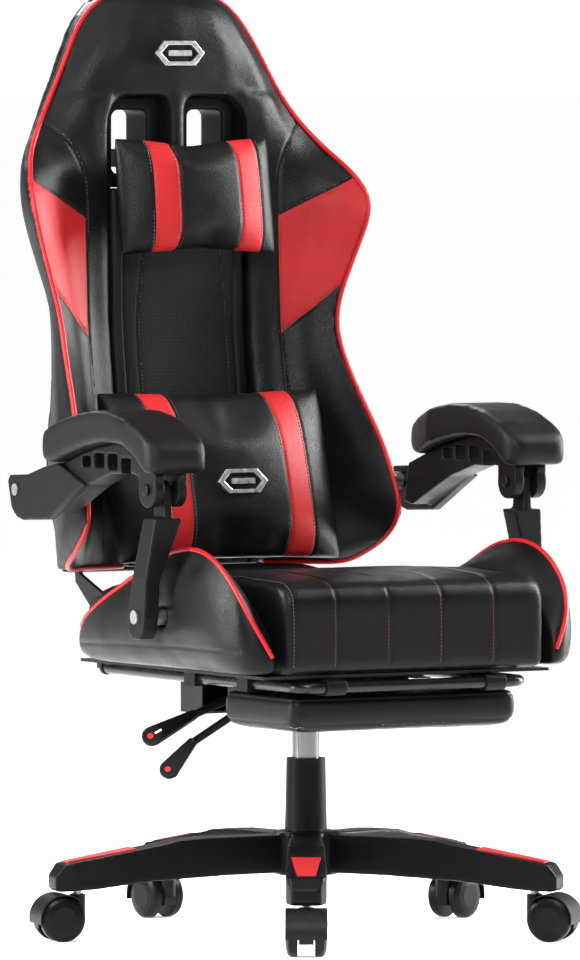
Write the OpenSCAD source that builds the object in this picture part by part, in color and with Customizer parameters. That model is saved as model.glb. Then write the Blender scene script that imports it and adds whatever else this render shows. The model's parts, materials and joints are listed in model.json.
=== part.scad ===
// Gaming chair: five-star base on twin-wheel casters, gas lift, padded bucket seat,
// reclining backrest with linkage armrests, and a pull-out, flip-over footrest.
// +Z is up, the chair faces -Y, and the origin is on the floor under the gas lift.

/* [Base] */
// Radius from the lift axis to each caster stem
stem_circle_r = 315; // [300:5:320]
// Turn of the first leg about the lift axis, in degrees
first_leg_angle = -120; // [-125:1:-115]
// Height of the top of the hub above the floor
hub_top = 138; // [136:1:140]
// Width of a leg
leg_w = 52; // [48:1:56]

/* [Casters] */
// Diameter of a caster wheel
wheel_d = 60; // [58:1:60]
// Width of one wheel
wheel_w = 16; // [14:1:17]
// Distance from the stem to the axle
trail = 25; // [22:1:27]

/* [Gas lift] */
// Diameter of the sliding pressure tube
tube_d = 36; // [34:1:36]
// Height of the top of the column cover
cover_top = 234; // [225:1:236]

/* [Seat] */
// Half the width of the middle cushion
cushion_half = 198; // [190:1:198]
// Height of the top of the cushion's front edge
seat_top = 482; // [475:1:486]
// Height of the top face of the seat pan
pan_top = 360; // [359:1:361]

/* [Backrest] */
// Slope of the backrest, in millimetres back for each millimetre up
lean = 0.13; // [0.12:0.01:0.14]
// Thickness of the steel layer between the front pads and the rear cover
frame_t = 12; // [10:1:12]

/* [Armrests] */
// Distance from the middle of the chair to the middle of an armrest
arm_x = 272; // [272:1:274]
// Width of an armrest pad
arm_pad_w = 90; // [84:1:90]

/* [Footrest] */
// Diameter of the footrest rod
rod_d = 15; // [14:1:15]
// Half the distance between the two straight rods
rod_half = 168; // [167:1:169]

/* [Hidden] */
$fn = 64;
eps = 0.01;
black = [0.08, 0.08, 0.085];
soft_black = [0.12, 0.12, 0.125];
steel = [0.45, 0.46, 0.48];
red = [0.75, 0.16, 0.16];
run = 0.05; // radial running clearance of a pin or shaft

// Pivots of the recline linkage, as [y, z]; the four make an exact parallelogram
recline_yz = [263, 419];
post_yz = [-80, 431];
arm_rear_yz = [243, 585];
arm_front_yz = arm_rear_yz + post_yz - recline_yz;

// ---------------------------------------------------------------- helpers

// A value on the smooth curve through rows i and i + 1 of a table
function row_at(rows, i) = rows[max(0, min(len(rows) - 1, i))];
function curve(a, b, c, d, t) = 0.5 * (2 * b + (c - a) * t + (2 * a - 5 * b + 4 * c - d) * t * t
    + (3 * b - 3 * c + d - a) * t * t * t);
function smooth_rows(rows, steps) = concat(
    [for (i = [0:len(rows) - 2]) for (k = [0:steps - 1])
        curve(row_at(rows, i - 1), rows[i], rows[i + 1], row_at(rows, i + 2), k / steps)],
    [rows[len(rows) - 1]]);

function total(v, i = 0) = i < len(v) ? v[i] + total(v, i + 1) : [0, 0, 0];
function reversed(v) = [for (i = [len(v) - 1:-1:0]) v[i]];

// Closed skin over a stack of rings that all have the same number of points
module skin(rings) {
    first = rings[0];
    n = len(first);
    last = (len(rings) - 1) * n;
    sides = [for (i = [0:len(rings) - 2]) for (j = [0:n - 1]) let (k = (j + 1) % n)
        each [[i * n + j, i * n + k, (i + 1) * n + k], [i * n + j, (i + 1) * n + k, (i + 1) * n + j]]];
    caps = [[for (j = [n - 1:-1:0]) j], [for (j = [0:n - 1]) last + j]];
    faces = concat(sides, caps);
    // the rings may run either way round the stack, and the faces have to look outwards
    normal = total([for (j = [1:n - 2]) cross(first[j] - first[0], first[j + 1] - first[0])]);
    inward = normal * (rings[len(rings) - 1][0] - first[0]) > 0;
    polyhedron(points = [for (r = rings) each r], convexity = 6,
        faces = inward ? [for (f = faces) reversed(f)] : faces);
}

// Extrudes a [y, z] outline along X from x0 to x1
module yz_plate(x0, x1) {
    translate([x0, 0, 0]) rotate([90, 0, 90]) linear_extrude(x1 - x0) children();
}

// A cylinder along X through a [y, z] point
module x_pin(yz, r, x0, x1) {
    translate([x0, yz[0], yz[1]]) rotate([0, 90, 0]) cylinder(r = r, h = x1 - x0);
}

module mirrored_pair() {
    children();
    mirror([1, 0, 0]) children();
}

// A cushion with rounded sides: a stack of shrinking rounded rectangles, tilted back by a slope
module pillow(half_x, half_y, half_z, power, tilt) {
    levels = [for (i = [-6:6]) sin(i * 15)];
    skin([for (s = levels) let (k = max(0.12, pow(1 - pow(abs(s), power), 1 / power)))
        [for (j = [0:31]) let (a = j * 11.25, c = cos(a), d = sin(a))
            let (z = half_z * k * sign(d) * pow(abs(d), 0.45))
            [half_x * k * sign(c) * pow(abs(c), 0.45), s * half_y + tilt * z, z]]]);
}

// ---------------------------------------------------------------- base

leg_count = 5;
stem_r = 5.5;
stem_bottom = 38;
leg_tip = 350;

module each_leg() {
    for (i = [0:leg_count - 1]) rotate([0, 0, first_leg_angle + i * 360 / leg_count]) children();
}

// Side outline of one leg as [radius, z], arched below and stepped on top
module leg_outline() {
    polygon([[34, 84], [120, 82], [220, 77], [300, 68], [345, 65.5], [leg_tip, 70], [leg_tip, 86],
        [338, 102], [205, 124.5], [180, 130], [150, 132], [34, hub_top - 4]]);
}

module leg_plan() {
    polygon([[30, -leg_w / 2 + 5], [120, -leg_w / 2 + 3], [290, -leg_w / 2 - 1], [330, -leg_w / 2],
        [leg_tip + 1, -leg_w / 2 + 8], [leg_tip + 1, leg_w / 2 - 8], [330, leg_w / 2],
        [290, leg_w / 2 + 1], [120, leg_w / 2 - 3], [30, leg_w / 2 - 5]]);
}

module star_base() {
    color(black) difference() {
        union() {
            each_leg() intersection() {
                translate([0, 40, 0]) rotate([90, 0, 0]) linear_extrude(80) leg_outline();
                translate([0, 0, 60]) linear_extrude(90) leg_plan();
            }
            translate([0, 0, 80]) cylinder(r = 43, h = hub_top - 80);
        }
        translate([0, 0, 70]) cylinder(r1 = 24, r2 = 25, h = 70);
        each_leg() translate([stem_circle_r, 0, 50]) cylinder(r = stem_r, h = 40);
    }
}

// Red trapezoid set on the sloped top of each leg end
module leg_inserts() {
    color(red) each_leg() intersection() {
        translate([0, 40, 0]) rotate([90, 0, 0]) linear_extrude(80)
            polygon([[235, 119.42], [336, 102.34], [336, 104.34], [235, 121.42]]);
        translate([0, 0, 90]) linear_extrude(40)
            polygon([[240, -19], [331, -12], [331, 12], [240, 19]]);
    }
}

module caster_stems() {
    color(steel) each_leg() translate([stem_circle_r, 0, 0]) {
        translate([0, 0, stem_bottom]) cylinder(r = stem_r, h = 90 - stem_bottom);
        translate([0, 0, 62]) cylinder(r = 7.5, h = 1);
    }
}

// ---------------------------------------------------------------- casters

hood_in = 31.2;
hood_out = 33;
web_half = 9.5;
stem_boss_r = 10.5;
wheel_in = 11.2;
axle_r = 4;

// Children are placed in the frame of caster i: stem axis on Z, axle towards +X
module caster_place(i) {
    rotate([0, 0, first_leg_angle + i * 360 / leg_count]) translate([stem_circle_r, 0, 0]) children();
}

module caster_hood(i) {
    color(black) caster_place(i) difference() {
        union() {
            // fender over the back of both wheels
            translate([trail, 0, wheel_d / 2]) rotate([90, 0, 0]) difference() {
                translate([0, 0, -wheel_in - wheel_w]) cylinder(r = hood_out, h = 2 * (wheel_in + wheel_w));
                translate([0, 0, -40]) cylinder(r = hood_in, h = 80);
                translate([-50, -66, -40]) cube([100, 60, 80]);
                translate([-55, -50, -40]) cube([33, 100, 80]);
            }
            // web between the wheels
            translate([trail, web_half, wheel_d / 2]) rotate([90, 0, 0]) intersection() {
                cylinder(r = hood_out - 0.5, h = 2 * web_half);
                translate([-40, -12, 0]) cube([80, 50, 2 * web_half]);
            }
            translate([0, 0, 30]) cylinder(r = stem_boss_r, h = 31.5);
            // axle, one piece with the web
            translate([trail, wheel_in + wheel_w - 3, wheel_d / 2]) rotate([90, 0, 0])
                cylinder(r = axle_r, h = 2 * (wheel_in + wheel_w - 3));
        }
        translate([0, 0, stem_bottom - 1]) cylinder(r = stem_r + run, h = 40);
    }
}

// One wheel: flat inside, domed outside, with a blind bore for the axle
module wheel(side) {
    r = wheel_d / 2;
    translate([trail, 0, r]) rotate([side * 90, 0, 0]) translate([0, 0, -wheel_in - wheel_w])
        rotate([180, 0, 0]) translate([0, 0, -wheel_w]) rotate_extrude()
            polygon([[axle_r + run, 0], [r - 1, 0], [r, 1], [r, 9], [r - 1.5, 12], [r - 6, 14.5],
                [r - 14, wheel_w], [0, wheel_w], [0, 13.6], [axle_r + run, 13.6]]);
}

module caster_wheels(i) {
    color(soft_black) caster_place(i) {
        wheel(1);
        wheel(-1);
    }
}

// ---------------------------------------------------------------- gas lift

tube_r = tube_d / 2;
rod_r = 5;
tube_top = 322;

module outer_tube() {
    color(black) difference() {
        union() {
            translate([0, 0, 70]) cylinder(r1 = 24, r2 = 25, h = 70);
            translate([0, 0, 137]) cylinder(r = 23.5, h = 93);
        }
        translate([0, 0, 76]) cylinder(r = 21, h = 200);
        translate([0, 0, 60]) cylinder(r = 6.5, h = 30);
    }
}

module thrust_bearing() {
    color(steel) {
        for (z = [76, 82]) translate([0, 0, z]) difference() {
            cylinder(r = 14, h = 2);
            translate([0, 0, -1]) cylinder(r = rod_r + run, h = 4);
        }
        for (a = [0:45:315]) rotate([0, 0, a]) translate([10, 0, 80]) sphere(r = 2, $fn = 24);
    }
}

module guide_bush() {
    color(soft_black) translate([0, 0, 150]) difference() {
        cylinder(r = 21, h = 80);
        translate([0, 0, -1]) cylinder(r = tube_r + run, h = 82);
    }
}

module column_cover() {
    color(black) difference() {
        translate([0, 0, hub_top + 2]) cylinder(r1 = 28, r2 = 25.75, h = cover_top - hub_top - 2);
        translate([0, 0, 130]) cylinder(r = 23.6, h = 100);
        translate([0, 0, 200]) cylinder(r = tube_r + 0.5, h = 100);
    }
}

module piston_rod() {
    color(steel) {
        translate([0, 0, 66]) cylinder(r = rod_r, h = 151);
        translate([0, 0, 84.1]) cylinder(r = 9, h = 4);
        translate([0, 0, 71]) cylinder(r = 6, h = 3);
        translate([0, 0, 205]) cylinder(r = 14 - run, h = 12);
    }
}

module pressure_tube() {
    color([0.8, 0.8, 0.82]) difference() {
        translate([0, 0, 130]) cylinder(r = tube_r, h = tube_top - 130);
        translate([0, 0, 140]) cylinder(r = 14, h = 160);
        translate([0, 0, 120]) cylinder(r = rod_r + run, h = 30);
        translate([0, 0, 308]) cylinder(r = 4 + run, h = 20);
    }
}

module release_pin() {
    color(steel) translate([0, 0, 314]) cylinder(r = 4, h = 16);
}

// ---------------------------------------------------------------- mechanism

house_half = 122;
house_bottom = 292;
pan_bottom = pan_top - 4;
pivot_x = -24;
pivot_z = 336;
pin_r = 3;
height_lever_y = 12;
recline_lever_y = 44;
pin_y = [-8, 60];

module mechanism_housing() {
    color(black) difference() {
        union() {
            difference() {
                translate([-house_half, -60, house_bottom])
                    cube([2 * house_half, 180, pan_bottom - house_bottom]);
                translate([-house_half + 3, -57, house_bottom + 3])
                    cube([2 * house_half - 6, 174, pan_bottom - house_bottom - 6]);
            }
            translate([-150, -95, pan_bottom - 3]) cube([300, 245, 3]);
            translate([0, 0, house_bottom - 4]) cylinder(r = 30, h = 26);
            for (y = [pin_y[0], pin_y[1] - 4]) translate([pivot_x - 10, y, 326]) cube([20, 4, 28]);
        }
        translate([0, 0, 280]) cylinder(r = tube_r, h = 39.5);
        // slot for both levers through the side wall and the floor beside it
        translate([-house_half - 1, -6, house_bottom - 7]) cube([48, 68, 63]);
        translate([pivot_x, -40, pivot_z]) rotate([-90, 0, 0]) cylinder(r = pin_r, h = 120);
    }
}

module lever_pivot_pin() {
    color(steel) translate([pivot_x, pin_y[0] - 2, pivot_z]) rotate([-90, 0, 0])
        cylinder(r = pin_r, h = pin_y[1] - pin_y[0] + 4);
}

// Side outline of a lever in [x, z]: short inner tip, bent arm, outer paddle
module lever_body(y, arm_w, root, tip, paddle_w) {
    difference() {
        union() {
            translate([pivot_x, y + arm_w / 2, pivot_z]) rotate([90, 0, 0]) cylinder(r = 7, h = arm_w);
            translate([0, y + arm_w / 2, 0]) rotate([90, 0, 0]) linear_extrude(arm_w)
                polygon([[pivot_x, pivot_z - 5], [2, pivot_z - 4.5], [4, pivot_z - 2], [2, pivot_z + 2],
                    [pivot_x, pivot_z + 6], root + [0, 5], root - [0, 5]]);
            // flat paddle, turned to face forwards, outwards and up
            hull() {
                translate([root[0], y, root[1]]) rotate([0, 58, 235])
                    cylinder(r = arm_w / 2 + 2, h = 7, center = true, $fn = 32);
                translate([tip[0], y, tip[1]]) rotate([0, 58, 235])
                    cylinder(r = paddle_w / 2, h = 7, center = true, $fn = 32);
            }
        }
        translate([pivot_x, y - 20, pivot_z]) rotate([-90, 0, 0]) cylinder(r = pin_r + run, h = 40);
    }
}

module height_lever() {
    color(black) {
        lever_body(height_lever_y, 9, [-166, 258], [-200, 224], 26);
        // finger over the release pin
        translate([-6, -4, pivot_z - 4.5]) cube([10, height_lever_y, 6.5]);
    }
}

module recline_lever() {
    color(black) lever_body(recline_lever_y, 9, [-146, 292], [-208, 266], 27);
}

// ---------------------------------------------------------------- seat

plate_in = 199;
plate_out = 205;
bolt_r = 5;
shaft_r = 8;
hinge_in = 150;
arm_plate_in = 157;

// Upstand beside the cushion that carries the armrest post, as [y, z]
module post_plate_outline() {
    polygon([[post_yz[0] - 24, pan_bottom], [post_yz[0] + 24, pan_bottom], [post_yz[0] + 22, post_yz[1]],
        [post_yz[0] - 22, post_yz[1]]]);
    translate(post_yz) circle(r = 22);
}

// Rear bracket from under the pan up to the recline pivot, as [y, z]
module hinge_plate_outline() {
    y = recline_yz[0];
    polygon([[120, pan_bottom - 14], [y + 24, pan_bottom - 14], [y + 24, recline_yz[1]],
        [y - 24, recline_yz[1]], [y - 32, pan_bottom], [120, pan_bottom]]);
    translate(recline_yz) circle(r = 24);
}

module seat_frame() {
    color(steel) difference() {
        union() {
            translate([-215, -262, pan_bottom]) cube([430, 487, pan_top - pan_bottom]);
            mirrored_pair() yz_plate(plate_in, plate_out) post_plate_outline();
            mirrored_pair() yz_plate(hinge_in, hinge_in + 6) hinge_plate_outline();
        }
        mirrored_pair() x_pin(recline_yz, shaft_r, hinge_in - 1, hinge_in + 7);
        mirrored_pair() x_pin(post_yz, bolt_r, plate_in - 1, plate_out + 1);
    }
}

// Middle cushion, as rows of [y, top z, bottom z, half width]
module seat_cushion() {
    rows = [[-288, 452, 372, 186], [-286, 462, 366, 192], [-278, 474, 361, 196],
        [-262, seat_top, pan_top, cushion_half], [-150, seat_top + 4, pan_top, cushion_half],
        [0, seat_top - 1, pan_top, cushion_half], [150, seat_top - 16, pan_top, cushion_half],
        [215, seat_top - 28, pan_top, cushion_half - 2],
        [228, seat_top - 44, pan_top + 2, cushion_half - 10]];
    color(black) rotate([90, 0, 0]) mirror([0, 0, 1])
        skin([for (r = rows) let (w = r[3], m = (r[1] + r[2]) / 2)
            [[-w + 2, r[2], r[0]], [w - 2, r[2], r[0]], [w, m, r[0]], [w - 1, r[1] - 11, r[0]],
             [w - 5, r[1] - 3, r[0]], [w - 16, r[1], r[0]], [-w + 16, r[1], r[0]],
             [-w + 5, r[1] - 3, r[0]], [-w + 1, r[1] - 11, r[0]], [-w, m, r[0]]]]);
}

// Side bolster, as rows of [y, crest x, crest z, inner foot z, bottom z, outward swell]
bolster_rows = [[-286, 213, 386, 376, 366, 3], [-278, 232, 422, 400, 363, 5],
    [-258, 246, 462, 425, 361, 8], [-215, 250, 504, 452, pan_top, 12], [-158, 249, 525, 472, pan_top, 15],
    [-80, 249, 520, 474, pan_top, 17], [0, 252, 488, 468, pan_top, 17], [80, 256, 454, 450, pan_top, 13],
    [140, 254, 426, 424, pan_top + 2, 8], [175, 244, 408, 407, pan_top + 8, 4]];

module seat_bolster() {
    x0 = plate_out + 1;
    difference() {
        rotate([90, 0, 0]) mirror([0, 0, 1]) skin([for (r = smooth_rows(bolster_rows, 3))
            let (y = r[0], x = r[1], z = r[2], f = min(r[3], z - 4), b = max(r[4], pan_top + 0.3), s = r[5])
            let (h = z - b)
            [[x0, b, y], [max(x - 8, x0 + 4), b, y], [x + s * 0.4, b + h * 0.12, y], [x + s, b + h * 0.35, y],
             [x + s, b + h * 0.6, y], [x + s * 0.6, b + h * 0.82, y], [x, z, y],
             [x0 + 0.6 * (x - x0), f + 0.68 * (z - f), y], [x0, f, y]]]);
        x_pin(post_yz, 12, 150, 400);
    }
}

module seat_bolster_right() {
    color(black) mirror([1, 0, 0]) seat_bolster();
}

module seat_bolster_left() {
    color(black) seat_bolster();
}

post_in = 279;
post_out = 301;

// Spacer sleeve and shoulder bolt that carry each armrest post
module post_bolts() {
    color(steel) mirrored_pair() {
        x_pin(post_yz, 11.5, plate_out, post_in - 0.5);
        x_pin(post_yz, bolt_r, plate_in, post_out + 1);
        x_pin(post_yz, 9, post_out + 0.5, post_out + 4);
    }
}

module recline_shaft() {
    color(steel) x_pin(recline_yz, shaft_r, -167, 167);
}

module hinge_covers() {
    color(black) mirrored_pair() difference() {
        x_pin(recline_yz, 20, arm_plate_in + 7, arm_plate_in + 13);
        x_pin(recline_yz, shaft_r, arm_plate_in, arm_plate_in + 10);
    }
}

// ---------------------------------------------------------------- footrest

rod_r2 = rod_d / 2;
rod_z = 345;
rod_front = -279;
rod_rear = 236;
bend_r = 22;

module footrest_guides() {
    color(black) mirrored_pair() for (y = [-159, -20]) difference() {
        translate([rod_half - 12, y, rod_z - 10.5]) cube([24, 28, pan_bottom - rod_z + 10.5]);
        translate([rod_half, y - 1, rod_z]) rotate([-90, 0, 0]) cylinder(r = rod_r2 + run, h = 30);
    }
}

module footrest_rod() {
    color(black) {
        mirrored_pair() {
            translate([rod_half, rod_front + bend_r, rod_z]) rotate([-90, 0, 0])
                cylinder(r = rod_r2, h = rod_rear - rod_front - bend_r);
            translate([rod_half - bend_r, rod_front + bend_r, rod_z]) rotate([0, 0, -90])
                rotate_extrude(angle = 90) translate([bend_r, 0]) circle(r = rod_r2);
        }
        translate([-rod_half + bend_r, rod_front, rod_z]) rotate([0, 90, 0])
            cylinder(r = rod_r2, h = 2 * (rod_half - bend_r));
    }
}

module rod_end_caps() {
    color(black) mirrored_pair() translate([rod_half, rod_rear, rod_z]) rotate([-90, 0, 0]) {
        cylinder(r = 9, h = 6);
        translate([0, 0, 6]) cylinder(r1 = 9, r2 = 6.5, h = 3);
    }
}

pad_half = 172;
pad_front = -262;
pad_rear = -72;
board_top = 334;
board_bottom = 330;

module footrest_clamps() {
    color(black) for (x = [-120, 120]) difference() {
        union() {
            translate([x - 15, rod_front, rod_z]) rotate([0, 90, 0]) cylinder(r = 11, h = 30);
            translate([x - 15, rod_front, board_top]) cube([30, 60, 8]);
        }
        translate([x - 16, rod_front, rod_z]) rotate([0, 90, 0]) cylinder(r = rod_r2 + run, h = 32);
    }
}

// Steel backing board with the padded body under it, rounded at the lower edges
module footrest_pad() {
    color(black) {
        translate([-pad_half + 8, pad_front + 8, board_bottom])
            cube([2 * pad_half - 16, pad_rear - pad_front - 16, board_top - board_bottom]);
        hull() {
            for (x = [-1, 1], y = [pad_front + 16, pad_rear - 16])
                translate([x * (pad_half - 16), y, 0]) {
                    translate([0, 0, board_bottom - 4]) cylinder(r = 14, h = 4, $fn = 24);
                    translate([0, 0, board_bottom - 30]) cylinder(r = 16, h = 20, $fn = 24);
                    translate([0, 0, 286]) cylinder(r = 7, h = 4, $fn = 24);
                }
        }
    }
}

// ---------------------------------------------------------------- backrest

z_bottom = 473;
z_slot = [981, 1103];
z_top = 1244;
slot_half = [13, 103];
wing_in = 104;

// Front and rear planes of the steel layer, the front of the middle pad, and the rear skin
function y_frame(z) = 322 + lean * (z - 460);
function y_behind(z) = y_frame(z) + frame_t;
function y_rear(z) = y_frame(z) + 38;

// Outline rows as [z, crest half width, crest y, half width at the steel layer, middle pad front y]
back_rows = [[473, 221, 263, 186, 296], [512, 238, 180, 190, 300], [553, 240, 151, 197, 306],
    [600, 238, 168, 198, 312], [639, 235, 190, 197, 317], [686, 225, 218, 187, 323],
    [744, 216, 255, 180, 331], [795, 213, 277, 175, 337], [839, 221, 279, 177, 338],
    [911, 247, 270, 192, 339], [959, 261, 265, 203, 340], [1000, 250, 297, 205, 341],
    [1030, 230, 335, 200, 341], [1071, 200, 364, 183, 340], [1104, 179, 374, 168, 339]];
head_rows = [[1104, 179, 374, 168, 339], [1130, 166, 378, 155, 339], [1160, 151, 381, 142, 340],
    [1190, 135, 387, 127, 345], [1212, 121, 391, 113, 352], [1230, 102, 392, 96, 364],
    [1240, 82, 395, 78, 376], [z_top, 62, 400, 60, 388]];

// Side wing: a steep inner face, a crest that carries the piping, and a rounded outer side
module wing() {
    difference() {
        skin([for (r = smooth_rows(back_rows, 3))
            let (z = r[0], a = r[1], c = r[2], e = r[3], m = r[4])
            let (f = y_frame(z), w = a - wing_in, d = m - c, g = f - c)
            [[wing_in, f, z], [wing_in, m, z], [wing_in + 0.3 * w, m - 0.1 * d, z],
             [wing_in + 0.6 * w, m - 0.36 * d, z], [wing_in + 0.85 * w, m - 0.78 * d, z], [a, c, z],
             [a + 3, c + 0.12 * g, z], [a + 3 - 0.1 * (a - e), c + 0.4 * g, z],
             [e + 0.5 * (a - e), c + 0.75 * g, z], [e, f, z]]]);
        x_pin(arm_rear_yz, 12, 213, 400);
        wing_bracket_shape();
    }
}

module wing_right() {
    color(black) mirror([1, 0, 0]) wing();
}

module wing_left() {
    color(black) wing();
}

// Recessed middle pad between the wings
module centre_pad() {
    rows = [for (r = smooth_rows(back_rows, 2)) if (r[0] < z_slot[0] - 5) r];
    color(soft_black) skin([for (r = concat(rows, [[z_slot[0], 0, 0, 0, 341]]))
        [[-wing_in + eps, y_frame(r[0]), r[0]], [-wing_in + eps, r[4] + 2, r[0]], [-60, r[4] - 1, r[0]],
         [60, r[4] - 1, r[0]], [wing_in - eps, r[4] + 2, r[0]], [wing_in - eps, y_frame(r[0]), r[0]]]]);
}

// Crowned head panel above the strap openings
module headrest_pad() {
    color(black) skin([for (r = smooth_rows(head_rows, 2))
        let (z = r[0], a = r[1], c = r[2], e = r[3], m = r[4], f = y_frame(z), d = c - m)
        [[-e, f, z], [-a, (c + f) / 2, z], [-a, c, z], [-0.8 * a, m + 0.45 * d, z],
         [-0.5 * a, m + 0.1 * d, z], [0, m, z], [0.5 * a, m + 0.1 * d, z], [0.8 * a, m + 0.45 * d, z],
         [a, c, z], [a, (c + f) / 2, z], [e, f, z]]]);
}

module headrest_spine() {
    w = slot_half[0] - 0.1;
    color(black) skin([for (z = [z_slot[0], (z_slot[0] + z_slot[1]) / 2, z_slot[1] + 1])
        [[-w, y_frame(z), z], [-w, 344, z], [-w / 2, 338, z], [w / 2, 338, z], [w, 344, z],
         [w, y_frame(z), z]]]);
}

// Padded rear cover in one piece, with the two strap openings
module rear_cover() {
    outline = concat([[465, 0, 0, 184, 0]], smooth_rows(back_rows, 2),
        [for (i = [1:len(head_rows) - 1]) head_rows[i]]);
    color(black) difference() {
        skin([for (r = outline) let (z = r[0], e = r[3], f = y_behind(z))
            let (b = y_rear(z) - max(0, z - 1225) * 0.6)
            [[-e + 1, f, z], [e - 1, f, z], [e - 3, f + 8, z], [e - 16, b - 6, z], [e - 42, b, z],
             [-e + 42, b, z], [-e + 16, b - 6, z], [-e + 3, f + 8, z]]]);
        mirrored_pair() translate([slot_half[0], 300, z_slot[0]])
            cube([slot_half[1] - slot_half[0], 200, z_slot[1] - z_slot[0]]);
    }
}

// Plastic liners of the two strap openings
module strap_bezels() {
    wall = 18;
    w = slot_half[1] - slot_half[0] - 0.2;
    h = z_slot[1] - z_slot[0] - 0.2;
    color(soft_black) mirrored_pair() translate([slot_half[0] + 0.1, 432, z_slot[0] + 0.1])
        rotate([90, 0, 0]) linear_extrude(60) difference() {
            square([w, h]);
            hull() for (x = [wall + 10, w - wall - 10], y = [wall + 10, h - wall - 10])
                translate([x, y]) circle(r = 10, $fn = 32);
        }
}

// Perimeter tube of the steel layer with two cross bars, flat in the leaning plane
module back_frame() {
    rim = 14;
    inset = 6;
    left = [for (r = back_rows) [r[3] - inset, r[0]]];
    head = [for (i = [1:len(head_rows) - 3]) [head_rows[i][3] - inset, head_rows[i][0]]];
    side = concat(left, head);
    outer = concat(side, [for (i = [len(side) - 1:-1:0]) [-side[i][0], side[i][1]]]);
    inner = [for (p = outer) [p[0] - sign(p[0]) * rim, min(max(p[1], z_bottom + rim), 1214)]];
    color(steel) multmatrix([[1, 0, 0, 0], [0, 1, lean, 322 - lean * 460], [0, 0, 1, 0], [0, 0, 0, 1]])
        translate([0, frame_t, 0]) rotate([90, 0, 0]) linear_extrude(frame_t) difference() {
            polygon(outer);
            difference() {
                polygon(inner);
                for (z = [620, 962, 1104]) translate([-300, z]) square([600, rim]);
                translate([1 - rim / 2, 960]) square([rim - 2, 150]);
            }
        }
}

// Elastic straps across the steel layer behind the middle pad
module back_webbing() {
    color(black) for (z = [520:60:900]) if (abs(z - 627) > 30)
        translate([-152, y_frame(z) + 4, z]) cube([304, 4, 26]);
}

// Side arm from the recline pivot up into the steel layer, as [y, z]
module recline_arm_outline() {
    y = recline_yz[0];
    z = recline_yz[1];
    polygon([[y - 23, z], [y - 12, z + 20], [y_frame(470), 466], [y_frame(640), 640], [y_behind(640), 640],
        [y_behind(455), 455], [y + 23, z]]);
    translate(recline_yz) circle(r = 23);
}

module recline_arms() {
    color(steel) difference() {
        mirrored_pair() yz_plate(arm_plate_in, arm_plate_in + 6) recline_arm_outline();
        mirrored_pair() x_pin(recline_yz, shaft_r + run, 140, 180);
    }
}

// Bent strap inside each wing that ties the armrest bolt to the steel layer
module wing_bracket_shape() {
    translate([0, 0, arm_rear_yz[1] - 24]) linear_extrude(48)
        polygon([[208, 222], [214, 222], [214, 292], [192, 330], [166, 334], [166, 328], [188, 324],
            [208, 290]]);
}

module wing_brackets() {
    color(steel) mirrored_pair() difference() {
        wing_bracket_shape();
        x_pin(arm_rear_yz, bolt_r, 200, 230);
    }
}

plate_arm_in = 288;
plate_arm_out = 302;

// Spacer sleeve and shoulder bolt that carry the rear end of each armrest
module arm_bolts() {
    color(steel) mirrored_pair() {
        x_pin(arm_rear_yz, 11.5, 214, plate_arm_in - 0.5);
        x_pin(arm_rear_yz, bolt_r, 208, plate_arm_out + 1);
        x_pin(arm_rear_yz, 8, plate_arm_out + 0.5, plate_arm_out + 3);
    }
}

// ---------------------------------------------------------------- pillows

module head_pillow() {
    color(black) translate([0, 298, 970]) pillow(119, 36, 77, 2.4, 0.14);
}

// Elastic strap through both openings and round the back of the spine
module head_pillow_strap() {
    color(black) {
        for (x = [-62, 60]) translate([x, 330, 1008]) cube([2, 107, 24]);
        translate([-62, 437, 1008]) cube([124, 2, 24]);
    }
}

module strap_buckle() {
    color(soft_black) translate([-22, 439, 1003]) cube([44, 7, 34]);
}

module lumbar_pillow() {
    color(black) translate([0, 233, 605]) pillow(170, 60, 116, 2.2, 0.28);
}

// ---------------------------------------------------------------- armrests

// Arched top and underside of the pad, as [y, z]
pad_top_line = [[154, 664], [120, 678], [70, 690], [20, 697], [-25, 697], [-70, 689], [-110, 675],
    [-138, 660], [-148, 648]];
pad_low_line = [[-148, 630], [-142, 619], [-128, 617], [-112, 628], [-92, 642], [-60, 654], [-15, 656],
    [40, 648], [90, 636], [130, 624], [150, 626], [157, 640]];

// Pad outline from above as [x outward, y], cut back beside the backrest
module pad_plan() {
    h = arm_pad_w / 2;
    polygon([[-h + 16, -149], [-h + 5, -143], [-h, -128], [-h, 70], [-h + 24, 158], [h - 8, 158], [h, 146],
        [h, -128], [h - 5, -143], [h - 16, -149]]);
}

module arm_pad() {
    color(soft_black) translate([arm_x, 0, 0]) intersection() {
        yz_plate(-60, 60) polygon(concat(pad_top_line, pad_low_line));
        translate([0, 0, 600]) linear_extrude(120) pad_plan();
    }
}

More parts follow.
